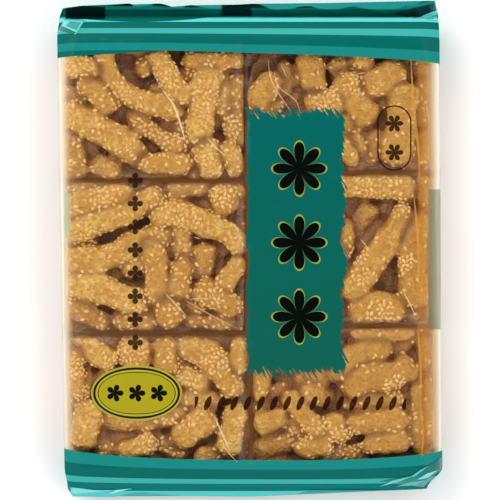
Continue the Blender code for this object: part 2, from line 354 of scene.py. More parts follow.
def paint_block(block, sticks, centre, rng):
    """Gives every point the tone of its stick, how near the next stick is, whether it was cut, and its
    painted shade by depth and on a stick's flanks.
    """
    routes = [smooth_route(route, 2 * MM) for route, _, _ in sticks]
    spots = np.vstack(routes) / (1, 1, STICK_FLAT)
    radius = np.concatenate([np.full(len(r), s[1]) for r, s in zip(routes, sticks)])
    starts = np.cumsum([0] + [len(r) for r in routes[:-1]])
    tones = rng.uniform(*TONES[block.name.split("_")[2]], len(sticks))
    points = vertex_array(block.data, "co", 3) - centre
    flat = points / (1, 1, STICK_FLAT)
    tone = np.empty(len(points))
    crevice = np.empty(len(points))
    for first in range(0, len(points), 4000):
        part = flat[first:first + 4000]
        square = (part ** 2).sum(1)[:, None] + (spots ** 2).sum(1)[None, :] - 2 * part @ spots.T
        gaps = np.minimum.reduceat(np.sqrt(np.maximum(square, 0)) - radius, starts, axis=1)
        nearest = np.sort(gaps, axis=1)[:, :2]
        weight = np.exp(-(gaps - nearest[:, :1]) / (0.6 * MM))
        tone[first:first + 4000] = (weight * tones).sum(1) / weight.sum(1)
        crevice[first:first + 4000] = 1 - (nearest[:, 1] + 0.4 * MM) / CREVICE_REACH
    from_side = (BLOCK_SIZE[:2] / 2 - np.abs(points[:, :2])).min(1)
    cut = 1 - from_side / (0.8 * MM)
    flank = 1 - np.abs(vertex_array(block.data, "normal", 3)[:, 2])
    # Painted shade: darker below the top face and on the flanks of the sticks, fading out at the cut faces.
    sunk = (BLOCK_SIZE[2] / 2 - DEPTH_SHADE_FROM - points[:, 2]) / DEPTH_SHADE_REACH + FLANK_SHADE_SHARE * flank
    sunk = np.clip(sunk, 0, 1) * np.clip(from_side / CUT_FACE_REACH, 0, 1)
    for name, values in (("tone", tone), ("crevice", crevice), ("cut", cut), ("sunk", sunk)):
        held = block.data.attributes.new(name, "FLOAT", "POINT")
        held.data.foreach_set("value", np.clip(values, 0, 1).astype(np.float32))


def make_block(name, pattern, rng):
    """One block: its sticks are settled, bent as copies of the straight one, and stuck together."""
    centre = block_centre(name)
    sticks = settle(list(shown_routes(name, centre)) + list(hidden_routes(rng)))
    base = vertex_array(pattern.data, "co", 3)
    copies = [block_core(centre)]
    for route, radius, held in sticks:
        copy = pattern.copy()
        copy.data = pattern.data.copy()
        points = bent(base, route, radius, rng, held)
        copy.data.vertices.foreach_set("co", points.astype(np.float32).ravel())
        copy.data.update()
        points = roughened(points, vertex_array(copy.data, "normal", 3), rng.uniform(-1, 1, 3))
        points = squeezed(points) + centre
        copy.data.vertices.foreach_set("co", points.astype(np.float32).ravel())
        bpy.context.collection.objects.link(copy)
        copies.append(copy)
    bpy.ops.object.select_all(action="DESELECT")
    for copy in copies:
        copy.select_set(True)
    bpy.context.view_layer.objects.active = copies[0]
    bpy.ops.object.join()
    block = bpy.context.object
    block.name = "sachima_" + name
    block.data.name = block.name
    fuse = block.modifiers.new("syrup", "REMESH")
    fuse.mode = "VOXEL"
    fuse.voxel_size = FUSE_SIZE
    fuse.use_smooth_shade = True
    ease = block.modifiers.new("ease", "SMOOTH")
    ease.factor = 0.5
    ease.iterations = 1
    for modifier in (fuse, ease):
        bpy.ops.object.modifier_apply(modifier=modifier.name)
    paint_block(block, sticks, centre, rng)
    return block


def linear(code):
    """An sRGB hex colour as the linear values that a shader takes."""
    parts = [int(code[i:i + 2], 16) / 255 for i in (1, 3, 5)]
    return [p / 12.92 if p <= 0.04045 else ((p + 0.055) / 1.055) ** 2.4 for p in parts] + [1.0]


def add(tree, kind, *inputs, **named):
    """Adds a node. Inputs fill its sockets in order, and named ones its settings or its named sockets."""
    node = tree.nodes.new("ShaderNode" + kind)
    for name, value in named.items():
        if name not in node.inputs:
            setattr(node, name, value)
    sockets = [socket for socket in node.inputs if socket.enabled]
    pairs = list(zip(sockets, inputs))
    pairs += [(node.inputs[name], value) for name, value in named.items() if name in node.inputs]
    for socket, value in pairs:
        if isinstance(value, bpy.types.Node):
            value = next(output for output in value.outputs if output.enabled)
        if isinstance(value, bpy.types.NodeSocket):
            tree.links.new(value, socket)
        elif value is not None:
            socket.default_value = value
    return node


def new_material(name):
    """An empty node material and its output node."""
    material = bpy.data.materials.new(name)
    material.use_nodes = True
    material.node_tree.nodes.clear()
    return material, material.node_tree, material.node_tree.nodes.new("ShaderNodeOutputMaterial")


# Fried dough with a coat of malt syrup: golden in random tones and paler where a stick is cut. Painted shade
# browns it between two sticks, partly the syrup that runs together there, and darkens it deeper in the block
# and on the flanks of the sticks.
PALE_CRUST = "#f2cb6e"
GOLD_CRUST = "#cd963f"
DEEP_CRUST = "#b77e2d"
SYRUP_AND_SHADE_BROWN = "#804a18"
DEPTH_SHADE_BROWN = "#875335"
CRUMB = "#e6b45f"
PATCH_SIZE = 7.0  # millimetres
MOTTLE_SIZE = 1.5
GRAIN_SIZE = 0.7
BLISTER_SIZE = 3.0

dough, tree, out = new_material("fried dough with malt syrup")
place = add(tree, "TexCoord").outputs["Object"]
patches = add(tree, "TexNoise", place, Scale=1000 / PATCH_SIZE, Detail=2.0)
mottle = add(tree, "TexNoise", place, Scale=1000 / MOTTLE_SIZE, Detail=4.0, Roughness=0.6)
grain = add(tree, "TexNoise", place, Scale=1000 / GRAIN_SIZE, Detail=3.0)
tone = add(tree, "Attribute", attribute_name="tone").outputs["Fac"]
crevice = add(tree, "Attribute", attribute_name="crevice").outputs["Fac"]
cut = add(tree, "Attribute", attribute_name="cut").outputs["Fac"]
sunk = add(tree, "Attribute", attribute_name="sunk").outputs["Fac"]
shade = add(tree, "Math", tone, 0.45, 0.02, operation="MULTIPLY_ADD")
shade = add(tree, "Math", patches, 0.7, shade, operation="MULTIPLY_ADD")
shade = add(tree, "Math", mottle, 0.9, shade, operation="MULTIPLY_ADD")
blisters = add(tree, "TexNoise", place, Scale=1000 / BLISTER_SIZE, Detail=2.0)
shade = add(tree, "Math", blisters, 0.8, shade, operation="MULTIPLY_ADD")
shade = add(tree, "MapRange", shade, 1.0, 1.95, 0.0, 1.0)
crust = add(tree, "ValToRGB", shade)
crust.color_ramp.elements[0].color = linear(DEEP_CRUST)
crust.color_ramp.elements[1].color = linear(PALE_CRUST)
crust.color_ramp.elements.new(0.5).color = linear(GOLD_CRUST)
open_face = add(tree, "MapRange", cut, 0.0, 1.0, 0.0, 0.5)
crust = add(tree, "Mix", open_face, crust, linear(CRUMB), data_type="RGBA")
# Painted shade between sticks, darker the nearer the next stick, partly the syrup that gathers there.
syrup = add(tree, "Math", mottle, 0.5, -0.25, operation="MULTIPLY_ADD")
syrup = add(tree, "Math", crevice, syrup, operation="ADD")
syrup = add(tree, "MapRange", syrup, 0.1, 1.0, 0.0, 0.9, interpolation_type="SMOOTHSTEP")
colour = add(tree, "Mix", syrup, crust, linear(SYRUP_AND_SHADE_BROWN), data_type="RGBA")
# Painted shade: darker deeper below the top of the block and on the flanks of the sticks.
depth = add(tree, "Math", patches, 0.4, -0.2, operation="MULTIPLY_ADD")
depth = add(tree, "Math", depth, sunk, operation="ADD")
depth = add(tree, "MapRange", depth, 0.0, 1.0, 0.0, 0.9)
colour = add(tree, "Mix", depth, colour, linear(DEPTH_SHADE_BROWN), data_type="RGBA")
bumps = add(tree, "Math", blisters, 2.2, mottle, operation="MULTIPLY_ADD")
bumps = add(tree, "Math", grain, 0.3, bumps, operation="MULTIPLY_ADD")
relief = add(tree, "Bump", Strength=0.9, Distance=0.001, Height=bumps)
shader = add(tree, "BsdfPrincipled", Roughness=0.46, IOR=1.47, Normal=relief,
             **{"Base Color": colour, "Coat Weight": 0.25, "Coat Roughness": 0.25})
tree.links.new(shader.outputs[0], out.inputs["Surface"])

rng = np.random.default_rng(SEED)
stick = straight_stick()
stick.data.materials.append(dough)
blocks = [make_block(name, stick, rng) for name in SHOWN_STICKS]
bpy.data.objects.remove(stick)
for block in blocks:
    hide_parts("film_pack")
    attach(block, "root")

# Sesame seeds.
# Hulled sesame, toasted pale, sticks to the syrup in clusters, thickly in the left-hand column and
# thinly in the right-hand one.
SEED_LENGTH = 2.5 * MM
SEED_WIDTH = 1.95 * MM
SEED_HEIGHT = 1.2 * MM
SEED_ROOM = 1.65 * MM
SEEDS_A_BLOCK = {"head_left": 600, "middle_left": 560, "foot_left": 340, "head_right": 210,
                 "middle_right": 190, "foot_right": 160}
SEED_DEEPEST = 0.5  # seeds keep to dough with less painted depth shade than this
SEED_FREE_END = 107.0 * MM  # beyond this the film lies too tight on the blocks
# Clusters that show, as a pixel of the photograph, a reach in pixels and how many seeds.
SEED_CLUSTERS = {
    "head_left": ((80, 66, 14, 14), (166, 75, 14, 16), (205, 100, 14, 24), (208, 156, 12, 14),
                  (160, 136, 16, 14), (182, 130, 9, 8), (120, 94, 12, 8), (232, 128, 12, 8)),
    "middle_left": ((88, 238, 14, 16), (224, 196, 12, 12), (166, 206, 12, 8), (186, 218, 14, 10),
                    (140, 300, 12, 8), (210, 296, 14, 8), (104, 196, 14, 8)),
    "foot_left": ((132, 350, 16, 20), (76, 368, 12, 14), (84, 395, 10, 8), (188, 372, 14, 12),
                  (112, 364, 10, 8), (150, 440, 14, 10), (215, 360, 14, 10)),
    "head_right": ((326, 100, 15, 16), (352, 84, 12, 8), (290, 110, 12, 6)),
    "middle_right": ((376, 180, 22, 12), (358, 256, 9, 8), (361, 276, 9, 10), (398, 206, 12, 8),
                     (380, 314, 16, 8), (406, 262, 9, 6)),
    "foot_right": ((345, 442, 17, 30), (394, 386, 12, 8), (320, 424, 10, 6), (300, 436, 12, 6)),
}


def one_seed():
    """A sesame seed: a flat drop, pointed at one end."""
    bpy.ops.object.select_all(action="DESELECT")
    bpy.ops.mesh.primitive_uv_sphere_add(segments=6, ring_count=4, radius=0.5, rotation=(0, math.pi / 2, 0))
    made = bpy.context.object
    bpy.ops.object.transform_apply(location=False, rotation=True, scale=False)
    points = vertex_array(made.data, "co", 3)
    narrow = 1 - 0.45 * np.clip(points[:, 0] + 0.1, 0, 1) / 0.6
    points[:, 1] *= narrow * SEED_WIDTH
    points[:, 2] *= narrow * SEED_HEIGHT
    points[:, 0] *= SEED_LENGTH
    made.data.vertices.foreach_set("co", points.astype(np.float32).ravel())
    made.data.update()
    return made


def seed_spots(block, name, rng):
    """Where seeds stick to a block, as (place, normal), no two closer than a seed's own room."""
    points = vertex_array(block.data, "co", 3)
    normals = vertex_array(block.data, "normal", 3)
    middle = block_centre(name)
    base = middle[2]
    crevice = np.empty(len(points), np.float32)
    sunk = np.empty(len(points), np.float32)
    block.data.attributes["crevice"].data.foreach_get("value", crevice)
    block.data.attributes["sunk"].data.foreach_get("value", sunk)
    inside = (np.abs(points[:, :2] - middle[:2]) < BLOCK_SIZE[:2] / 2 - SEED_HEIGHT).all(1)
    inside &= np.abs(points[:, 1]) < SEED_FREE_END
    free = np.flatnonzero((crevice < 0.75) & (sunk < SEED_DEEPEST) & inside)
    upper = free[(points[free, 2] > base + 2 * MM) & (normals[free, 2] > 0.15)]
    side = free[(points[free, 2] > 4 * MM) & (normals[free, 2] > -0.1)]
    chosen = []
    for x, y, reach, count in SEED_CLUSTERS[name]:
        away = np.linalg.norm(points[upper, :2] - on_pack((x, y)), axis=1) / (reach * PHOTO_SCALE)
        near = upper[(away < 1) & (points[upper, 2] > base + 6 * MM)]
        if len(near):
            chosen += list(rng.permutation(near)[:count * 12])
    chosen += list(rng.permutation(side)[:SEEDS_A_BLOCK[name]])
    kept = []
    for index in chosen:
        if not kept or np.min(np.linalg.norm(points[kept] - points[index], axis=1)) > SEED_ROOM:
            kept.append(index)
    return points[kept], normals[kept]


def scatter_seeds(pattern, rng):
    """Lays copies of the seed on the blocks and joins them in one mesh."""
    shape = vertex_array(pattern.data, "co", 3)
    faces = [tuple(face.vertices) for face in pattern.data.polygons]
    corners = []
    polygons = []
    tones = []
    for block, name in zip(blocks, SHOWN_STICKS):
        for spot, normal in zip(*seed_spots(block, name, rng)):
            lie = Vector(normal).to_track_quat("Z", "X").to_matrix()
            turn = Matrix.Rotation(rng.uniform(0, math.tau), 3, "Z") @ Matrix.Rotation(
                rng.uniform(-0.35, 0.35), 3, "X")
            size = rng.uniform(0.88, 1.12)
            laid = (shape * size) @ np.array(lie @ turn).T + spot - normal * SEED_HEIGHT * 0.06
            start = len(corners) * len(shape)
            corners.append(laid)
            polygons += [tuple(start + i for i in face) for face in faces]
            tones.append(np.full(len(shape), rng.uniform(0, 1)))
    mesh = bpy.data.meshes.new("sesame_seeds")
    mesh.from_pydata(np.vstack(corners).tolist(), [], polygons)
    mesh.shade_smooth()
    tone = mesh.attributes.new("tone", "FLOAT", "POINT")
    tone.data.foreach_set("value", np.concatenate(tones).astype(np.float32))
    return mesh


# Toasted sesame hulls: dull, pale and a little different from seed to seed.
DARK_HULL = "#d29e50"
PALE_HULL = "#f0c882"
SPECK_SIZE = 0.8  # millimetres

seed_colour, tree, out = new_material("toasted sesame")
tone = add(tree, "Attribute", attribute_name="tone").outputs["Fac"]
place = add(tree, "TexCoord").outputs["Object"]
speck = add(tree, "TexNoise", place, Scale=1000 / SPECK_SIZE, Detail=2.0)
mix = add(tree, "Math", speck, 0.6, tone, operation="MULTIPLY_ADD")
mix = add(tree, "MapRange", mix, 0.2, 1.4, 0.0, 1.0)
hull = add(tree, "Mix", mix, linear(DARK_HULL), linear(PALE_HULL), data_type="RGBA")
shader = add(tree, "BsdfPrincipled", Roughness=0.6, **{"Base Color": hull})
tree.links.new(shader.outputs[0], out.inputs["Surface"])
seed = one_seed()
seeds = bpy.data.objects.new("sesame_seeds", scatter_seeds(seed, rng))
bpy.context.collection.objects.link(seeds)
seeds.data.materials.append(seed_colour)
bpy.data.objects.remove(seed)
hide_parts("film_pack")
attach(seeds, "root")

# The film pack.
# One sheet of clear film, printed in teal, is rolled round the blocks, and both of its ends are folded in
# at the corners and sealed in a flat fin.
EDGE_ACROSS = 10.0 * MM
EDGE_DOWN = 11.0 * MM
HEEL_ACROSS = 5.0 * MM
HEEL_DOWN = 6.0 * MM
GROOVE_DEPTH = 1.8 * MM
GROOVE_HALF_WIDTH = 6.0 * MM
LUMP_HEIGHT = 0.9 * MM
LUMP_LENGTH = 13.0 * MM
RIPPLE_HEIGHT = 0.22 * MM
RIPPLE_LENGTH = 5.0 * MM
TAUT_FROM = -6.0  # the film is taut across the gaps behind the panel, between these in millimetres
TAUT_TO = 52.0
TAUT_FADE = 8.0
TAUT_SHARE = 0.8
SHOULDER_LENGTH = 13.0 * MM
GAP_FADE = 4.0 * MM
UNDERSIDE_LENGTH = 10.0 * MM
ROOT_HEIGHT = 14.0 * MM
FIN_THICKNESS = 1.3 * MM
GUSSET_DEPTH = 9.0 * MM
GUSSET_LENGTH = 6.5 * MM
HEAD_ROOT_Y = PACK_HIGH.y - 7.8 * MM
FOOT_ROOT_Y = PACK_LOW.y + 4.6 * MM
HEAD_EDGE_HEIGHT = 20.0 * MM
FOOT_EDGE_HEIGHT = 7.0 * MM
FIN_DRAW = 0.022  # each fin narrows by this share towards its free edge
CORNER_DRAW_LEFT = (1.0 * MM, 0.8 * MM)  # how far the corners are drawn in, at the foot and at the head
CORNER_DRAW_RIGHT = (7.0 * MM, 0.0)
CORNER_REACH = 11.0 * MM
TAPER = 0.6 * MM  # how much wider the pack is at its head than at its middle
HALF_WIDTH = 91.6 * MM
LEFT_IN = 0.85 * MM  # how much closer the left side lies
FILM_TOP = 33.0 * MM
# The free edge of each fin, as (x, y) in millimetres from the photograph's middle, from left to right.
HEAD_EDGE = (
    (-91, 116.2), (-81, 117.4), (-71, 117.6), (-58.6, 118.4), (-56, 117.1), (-44.6, 118.4), (-34.7, 116.4),
    (-28.8, 117.6), (-15, 116.1), (-10, 117.6), (3, 118.3), (14.2, 115.3), (28.8, 117.1), (39.8, 115.5),
    (52, 116.9), (65.5, 115.0), (69, 115.2), (79, 117.4), (88.6, 119.8), (92, 119.8),
)
FOOT_EDGE = ((-89, -119.4), (-68, -119.6), (-56, -117.6), (-28, -119.2), (0, -119.4), (22, -118.4),
             (32, -115.9), (56, -115.6), (70, -116.2), (84, -115.8), (92, -115.5))
TOP_STEPS = 196
WALL_STEPS = 14
UNDER_STEPS = 44
LENGTH_STEPS = 236
FIN_STEPS = 9


def smooth(share):
    """A share from 0 to 1, eased at both ends."""
    share = np.clip(share, 0, 1)
    return share * share * (3 - 2 * share)


def quarter_round(share):
    """The height of a quarter circle, from 1 at a share of 0 to 0 at 1."""
    return np.sqrt(np.maximum(0, 1 - np.clip(share, 0, 1) ** 2))


def fin_edge(points, x):
    """The y of a fin's free edge at x, eased from point to point."""
    xs = np.array([p[0] for p in points]) * MM
    ys = np.array([p[1] for p in points]) * MM + PHOTO_CENTRE.y
    step = np.clip(np.searchsorted(xs, x) - 1, 0, len(xs) - 2)
    share = smooth((x - xs[step]) / (xs[step + 1] - xs[step]))
    return ys[step] + (ys[step + 1] - ys[step]) * share


def film_relief(x, y):
    """How far the film lies below its flat top, drawn into the gaps and lifted by the sticks."""
    shift = np.where(x > 0, COLUMN_SHIFT / 2, -COLUMN_SHIFT / 2)
    lines = [np.abs(x - BLOCKS_X)]
    lines += [np.abs(y - MIDDLE_Y - shift - side * (BLOCK_SIZE[1] + BLOCK_GAP) / 2) for side in (-1, 1)]
    drawn = [GROOVE_DEPTH * (1 - smooth(line / GROOVE_HALF_WIDTH)) for line in lines]
    taut = smooth((x / MM - TAUT_FROM) / TAUT_FADE) * smooth((TAUT_TO - x / MM) / TAUT_FADE)
    drawn = [groove * (1 - TAUT_SHARE * taut) for groove in drawn]
    flat = np.column_stack((x.ravel(), y.ravel(), np.zeros(x.size)))
    lumps = [noise.noise(Vector(p) / LUMP_LENGTH + Vector((3.1, 7.7, 0.4))) for p in flat]
    fine = [noise.noise(Vector(p) / RIPPLE_LENGTH) for p in flat]
    lift = LUMP_HEIGHT * np.array(lumps) + RIPPLE_HEIGHT * np.array(fine)
    return np.maximum.reduce(drawn) - lift.reshape(x.shape)


def cross_section(y, width, top, bottom, tuck, dip):
    """The ring round the film at every y, as x and z: top, right wall, underside and left wall."""
    edge_down = np.minimum(EDGE_DOWN, (top - bottom) * 0.45)
    heel_down = np.minimum(HEEL_DOWN, (top - bottom) * 0.3)
    flat = (HALF_WIDTH - EDGE_ACROSS) / (HALF_WIDTH - EDGE_ACROSS + EDGE_ACROSS * math.pi / 2)
    columns = []
    for side in np.linspace(-1, 1, TOP_STEPS):
        angle = max(0.0, (abs(side) - flat) / (1 - flat)) * math.pi / 2
        x = min(abs(side) / flat, 1) * (width - EDGE_ACROSS) + EDGE_ACROSS * math.sin(angle)
        x = math.copysign(1, side) * x
        lie = film_relief(np.clip(x, EDGE_ACROSS - width, width - EDGE_ACROSS), y) * dip * math.cos(angle)
        columns.append((x, top - edge_down * (1 - math.cos(angle)) - lie))
    wall = []
    for turn in np.linspace(0, 1, WALL_STEPS + 1)[1:]:
        drop = min(1.0, turn / 0.6)
        heel = max(0.0, (turn - 0.6) / 0.4) * math.pi / 2
        x = width - tuck * math.sin(drop * math.pi) - HEEL_ACROSS * (1 - math.cos(heel))
        z = (top - edge_down) * (1 - drop) + (bottom + heel_down) * drop - heel_down * math.sin(heel)
        wall.append((x, z))
    columns += wall
    columns += [(share * (width - HEEL_ACROSS), bottom) for share in np.linspace(1, -1, UNDER_STEPS)[1:-1]]
    columns += [(-x, z) for x, z in reversed(wall)]
    return np.array(columns)


def film_fin(root, edge_points, edge_height):
    """The rings of a fin, from its root to its free edge."""
    edge = np.column_stack((root[:, 0], fin_edge(edge_points, root[:, 0]), np.full(len(root), edge_height)))
    middle = np.column_stack((root[:, 0], root[:, 1], np.full(len(root), ROOT_HEIGHT)))
    rings = []
    for share in np.linspace(0, 1, FIN_STEPS + 1)[1:]:
        ring = middle + (edge - middle) * share
        ring[:, 2] += (root[:, 2] - ROOT_HEIGHT) * (1 - 0.4 * share)
        ring[:, 0] *= 1 - FIN_DRAW * share
        rings.append(ring)
    return rings


def film_rings():
    """Every point of the film, as an array of rings from the foot fin's edge to the head fin's."""
    along = np.linspace(0, 1, LENGTH_STEPS)
    along = along - 0.07 * np.sin(along * math.tau) / math.pi
    y = FOOT_ROOT_Y + (HEAD_ROOT_Y - FOOT_ROOT_Y) * along
    from_root = np.minimum(HEAD_ROOT_Y - y, y - FOOT_ROOT_Y)
    width = HALF_WIDTH + TAPER * (y - MIDDLE_Y) / (HEAD_ROOT_Y - MIDDLE_Y)
    top_fin = ROOT_HEIGHT + FIN_THICKNESS / 2
    top = top_fin + (FILM_TOP - top_fin) * quarter_round(1 - from_root / SHOULDER_LENGTH)
    bottom = (ROOT_HEIGHT - FIN_THICKNESS / 2) * (1 - quarter_round(1 - from_root / UNDERSIDE_LENGTH))
    tuck = GUSSET_DEPTH * smooth(1 - from_root / GUSSET_LENGTH)
    dip = smooth((from_root - SHOULDER_LENGTH) / GAP_FADE + 0.5)
    x, z = cross_section(y, width, top, bottom, tuck, dip).transpose(1, 0, 2)
    for sign, draws in ((-1, CORNER_DRAW_LEFT), (1, CORNER_DRAW_RIGHT)):
        draw = np.where(y < MIDDLE_Y, *draws) * (1 - smooth(from_root / CORNER_REACH))
        x = np.where(np.sign(x) == sign, x * (1 - draw / width), x)
    x = np.where(x < 0, x * (1 - LEFT_IN / width), x) - LEAN * (y - MIDDLE_Y) + PHOTO_CENTRE.x
    rings = np.stack((x, np.broadcast_to(y, x.shape), z), axis=2).transpose(1, 0, 2)
    foot_fin = film_fin(rings[0], FOOT_EDGE, FOOT_EDGE_HEIGHT)
    head_fin = film_fin(rings[-1], HEAD_EDGE, HEAD_EDGE_HEIGHT)
    return np.array(foot_fin[::-1] + list(rings) + head_fin)


def film_sheet():
    """A flat grid of film, rolled to the rings, its long edges joined and both ends closed."""
    rings = film_rings()
    along, around, _ = rings.shape
    bpy.ops.object.select_all(action="DESELECT")
    bpy.ops.mesh.primitive_grid_add(x_subdivisions=around, y_subdivisions=along - 1, size=2)
    made = bpy.context.object
    made.name = "film_wrap"
    made.data.name = "film_wrap"
    flat = vertex_array(made.data, "co", 3)
    column = np.rint((flat[:, 0] + 1) / 2 * around).astype(int) % around
    row = np.rint((flat[:, 1] + 1) / 2 * (along - 1)).astype(int)
    made.data.vertices.foreach_set("co", rings[row, column].astype(np.float32).ravel())
    made.data.update()
    bpy.ops.object.mode_set(mode="EDIT")
    bpy.ops.mesh.select_mode(type="VERT")
    bpy.ops.mesh.select_all(action="SELECT")
    bpy.ops.mesh.remove_doubles(threshold=1e-6)
    for end in (-1, 1):
        bpy.ops.mesh.select_all(action="DESELECT")
        bpy.ops.mesh.select_non_manifold()
        bpy.ops.object.mode_set(mode="OBJECT")
        points = made.data.vertices
        for edge in made.data.edges:
            edge.select = edge.select and points[edge.vertices[0]].co.y * end > 0
        for point in points:
            point.select = point.select and point.co.y * end > 0
        bpy.ops.object.mode_set(mode="EDIT")
        bpy.ops.mesh.edge_face_add()
    bpy.ops.mesh.select_all(action="SELECT")
    bpy.ops.mesh.normals_make_consistent(inside=False)
    bpy.ops.object.mode_set(mode="OBJECT")
    bpy.ops.object.shade_smooth()
    return made


film = film_sheet()

# BOPP film: clear and glossy, with gravure inks printed on its inner side, so that the inks share a little
# of the film's gloss. The stripes and the brushed panel are solid.
INK_MID = "#19817b"
INK_DARK = "#05645d"
INK_LIGHT = "#3ba8a1"
INK_PALE = "#60d2d3"
INK_FIN = "#168a83"
# Painted shade along the root of the head fin, laid as one of its stripes.
FIN_ROOT_SHADE = "#045b50"
# Where each stripe starts, in millimetres from the photograph's middle, from the foot to the head. The
# window between the two ends is bare.
FOOT_RANGE = (-120.0, -96.0)
FOOT_STRIPES = ((-120.0, "#55c2c2"), (-116.4, "#08706d"), (-111.9, INK_LIGHT), (-109.5, INK_DARK),
                (-104.7, INK_MID), (-100.2, None))
HEAD_RANGE = (90.0, 120.0)
HEAD_STRIPES = ((90.0, None), (93.9, INK_MID), (97.9, INK_DARK), (102.9, INK_LIGHT), (105.8, INK_DARK),
                (109.2, INK_PALE), (111.7, INK_MID), (112.8, FIN_ROOT_SHADE), (115.6, INK_FIN))
STRIPE_MIDDLE = -2.65
# At the foot and at the head: how far from the middle the stripes start to bend, and how much wider they
# get towards the right, and towards both sides.
STRIPE_REACH = (112.4, 109.5)
STRIPE_SLANT = (-0.05, 0.22)
STRIPE_BOW = (0.33, 0.17)
SIDE_U = 92.0

wrap, tree, out = new_material("printed BOPP film")
place = add(tree, "SeparateXYZ", add(tree, "TexCoord").outputs["Object"])
u = add(tree, "Math", place.outputs["X"], 1000, -PHOTO_CENTRE.x / MM, operation="MULTIPLY_ADD")
v = add(tree, "Math", place.outputs["Y"], 1000, -PHOTO_CENTRE.y / MM, operation="MULTIPLY_ADD")
side = add(tree, "Math", u, SIDE_U, operation="DIVIDE")
bow = add(tree, "Math", add(tree, "Math", side, operation="ABSOLUTE"), 3.0, operation="POWER")
from_middle = add(tree, "Math", v, STRIPE_MIDDLE, operation="SUBTRACT")
head = add(tree, "Math", from_middle, 0.0, operation="GREATER_THAN")
slant = add(tree, "Mix", head, STRIPE_SLANT[0], STRIPE_SLANT[1], data_type="FLOAT")
curve = add(tree, "Mix", head, STRIPE_BOW[0], STRIPE_BOW[1], data_type="FLOAT")
widen = add(tree, "Math", side, slant, 1.0, operation="MULTIPLY_ADD")
widen = add(tree, "Math", bow, curve, widen, operation="MULTIPLY_ADD")
reach = add(tree, "Math", from_middle, operation="ABSOLUTE")
bend = add(tree, "Mix", head, STRIPE_REACH[0], STRIPE_REACH[1], data_type="FLOAT")
inward = add(tree, "Math", bend, reach, operation="SUBTRACT")
inward = add(tree, "Math", inward, 0.0, operation="MAXIMUM")
narrowed = add(tree, "Math", inward, widen, operation="DIVIDE")
reach = add(tree, "Math", reach, inward, operation="ADD")
reach = add(tree, "Math", reach, narrowed, operation="SUBTRACT")
signed = add(tree, "Math", from_middle, operation="SIGN")
signed = add(tree, "Math", signed, reach, operation="MULTIPLY")
stripe_at = add(tree, "Math", signed, STRIPE_MIDDLE, operation="ADD")


def stripe_ramp(tree, reach, stripes):
    """The stripes of one end of the pack, as a colour and, as its alpha, where there is ink."""
    low, high = reach
    node = add(tree, "ValToRGB", add(tree, "MapRange", stripe_at, low, high, 0.0, 1.0))
    ramp = node.color_ramp
    ramp.interpolation = "CONSTANT"
    ramp.elements.remove(ramp.elements[1])
    for start, code in stripes:
        spot = ramp.elements[0] if start == low else ramp.elements.new((start - low) / (high - low))
        spot.position = (start - low) / (high - low)
        spot.color = linear(code or INK_MID)[:3] + [1.0 if code else 0.0]
    return node


foot_end = stripe_ramp(tree, FOOT_RANGE, FOOT_STRIPES)
head_end = stripe_ramp(tree, HEAD_RANGE, HEAD_STRIPES)
stripe_ink = add(tree, "Mix", head, foot_end, head_end, data_type="RGBA")
stripe_cover = add(tree, "Mix", head, foot_end.outputs["Alpha"], head_end.outputs["Alpha"], data_type="FLOAT")
open_window = add(tree, "Math", 1.0, stripe_cover, operation="SUBTRACT")

# The rest of the print, on the upper face only, with the painted shade, sheen and glow that are laid on the
# film with it. Each field is its colour, how much of the dough it hides and a mask, and a later one lies over
# an earlier one. Places are in millimetres from the photograph's middle.
ink_and_shade_fields = [(stripe_ink, 1.0, stripe_cover)]


def distance_from(tree, axis, place):
    """How far u, v or another measure is from a place, to either side."""
    away = add(tree, "Math", axis, place, operation="SUBTRACT")
    return add(tree, "Math", away, operation="ABSOLUTE")


def square_sum(tree, across, up):
    """The square of a distance, from its parts across and up."""
    square = add(tree, "Math", up, up, operation="MULTIPLY")
    return add(tree, "Math", across, across, square, operation="MULTIPLY_ADD")


def box_mask(tree, centre, half):
    """1 inside a rectangle, from how far u and v are from its centre."""
    over = []
    for axis, middle, reach in zip((u, v), centre, half):
        over.append(add(tree, "Math", distance_from(tree, axis, middle), reach, operation="LESS_THAN"))
    return add(tree, "Math", *over, operation="MULTIPLY")


PETAL_FULLNESS = 0.45  # the smaller, the broader each petal


def floret(tree, across, up, radius, petals):
    """A plain flower of rounded petals: its share of the way to the petals' edge, at these distances."""
    away = add(tree, "Math", square_sum(tree, across, up), operation="SQRT")
    angle = add(tree, "Math", up, across, operation="ARCTAN2")
    wave = add(tree, "Math", angle, petals / 2, operation="MULTIPLY")
    wave = add(tree, "Math", wave, operation="COSINE")
    wave = add(tree, "Math", wave, operation="ABSOLUTE")
    wave = add(tree, "Math", wave, PETAL_FULLNESS, operation="POWER")
    edge = add(tree, "Math", wave, radius * 0.9, radius * 0.1, operation="MULTIPLY_ADD")
    return add(tree, "Math", away, edge, operation="DIVIDE")


# Painted shade: the window's edge at the head runs dark at the left, in a long tapering strip where the film
# folds.
WEDGE_END = (-38.0, 95.3)
WEDGE_SLOPE = 0.065
past = add(tree, "Math", u, WEDGE_END[0], operation="SUBTRACT")
past = add(tree, "Math", past, 0.0, operation="MINIMUM")
line = add(tree, "Math", past, WEDGE_SLOPE, WEDGE_END[1], operation="MULTIPLY_ADD")
fold_shade_wedge = add(tree, "Math", v, line, operation="GREATER_THAN")
fold_shade_wedge = add(tree, "Math", fold_shade_wedge, open_window, operation="MULTIPLY")
ink_and_shade_fields.append((linear(INK_DARK), 1.0, fold_shade_wedge))

